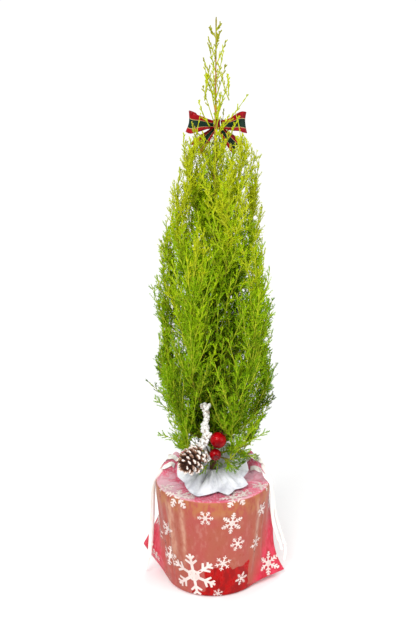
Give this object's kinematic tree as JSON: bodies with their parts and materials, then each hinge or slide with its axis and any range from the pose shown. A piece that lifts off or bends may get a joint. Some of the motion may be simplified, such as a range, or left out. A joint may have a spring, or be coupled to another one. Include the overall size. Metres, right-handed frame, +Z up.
{
  "type": "potted lemon cypress in a gift bag",
  "caption": "Slender golden-green lemon cypress in a pot, wrapped in a red snowflake drawstring bag, with a striped bow and a pine cone and berry pick.",
  "frame": {"origin": "middle of the bag's flat underside, where it stands", "axes": "+Z up along the trunk; -Y towards the side with the pine cone; +X to the right seen from that side"},
  "size_m": [0.1989, 0.1678, 0.736],
  "materials": {
    "bark": "thin reddish-brown bark, matte",
    "lemon_foliage": null,
    "terracotta_plastic": "matte terracotta-coloured plastic",
    "potting_soil": "loose dark potting mix, matte",
    "red_film": "thin clear red film with white printed snowflakes",
    "white_liner": "white non-woven cloth, matte",
    "striped_ribbon": "woven ribbon striped red, dark green and pale gold",
    "cone_scales": "dry brown scales with white painted tips",
    "artificial_frost": "white foam beads, matte",
    "red_lacquer": "glossy deep red lacquer",
    "pick_stick_wood": "brown paper-wrapped wire stalks, matte",
    "white_satin": "white satin tape, soft sheen"
  },
  "bodies": {
    "root": {"bag": "red_film", "berry_lower": "red_lacquer", "berry_upper": "red_lacquer", "bough_broad_1": "bark", "bough_broad_2": "bark", "bough_broad_3": "bark", "bough_broad_4": "bark", "bough_broad_5": "bark", "bough_lower_1": "bark", "bough_lower_2": "bark", "bough_lower_3": "bark", "bough_lower_4": "bark", "bough_lower_5": "bark", "bow_loop_left": "striped_ribbon", "bow_loop_right": "striped_ribbon", "bow_tail_left": "striped_ribbon", "bow_tail_right": "striped_ribbon", "bow_wrap": "striped_ribbon", "drawstring_left_inner": "white_satin", "drawstring_left_outer": "white_satin", "drawstring_right_inner": "white_satin", "drawstring_right_outer": "white_satin", "foliage_broad_1": "lemon_foliage", "foliage_broad_2": "lemon_foliage", "foliage_broad_3": "lemon_foliage", "foliage_broad_4": "lemon_foliage", "foliage_broad_5": "lemon_foliage", "foliage_crest_1": "lemon_foliage", "foliage_crest_2": "lemon_foliage", "foliage_crest_3": "lemon_foliage", "foliage_leader_tip": "lemon_foliage", "foliage_lower_1": "lemon_foliage", "foliage_lower_2": "lemon_foliage", "foliage_lower_3": "lemon_foliage", "foliage_lower_4": "lemon_foliage", "foliage_lower_5": "lemon_foliage", "foliage_middle_1": "lemon_foliage", "foliage_middle_2": "lemon_foliage", "foliage_middle_3": "lemon_foliage", "foliage_middle_4": "lemon_foliage", "foliage_shoulder_1": "lemon_foliage", "foliage_shoulder_2": "lemon_foliage", "foliage_shoulder_3": "lemon_foliage", "foliage_skirt_1": "lemon_foliage", "foliage_skirt_2": "lemon_foliage", "foliage_skirt_3": "lemon_foliage", "foliage_skirt_4": "lemon_foliage", "foliage_skirt_5": "lemon_foliage", "foliage_upper_1": "lemon_foliage", "foliage_upper_2": "lemon_foliage", "foliage_upper_3": "lemon_foliage", "foliage_upper_4": "lemon_foliage", "frosted_spike": "artificial_frost", "liner_ruff": "white_liner", "pick_stick": "pick_stick_wood", "pine_cone": "cone_scales", "pot": "terracotta_plastic", "soil": "potting_soil", "trunk": "bark"}
  },
  "joints": []
}
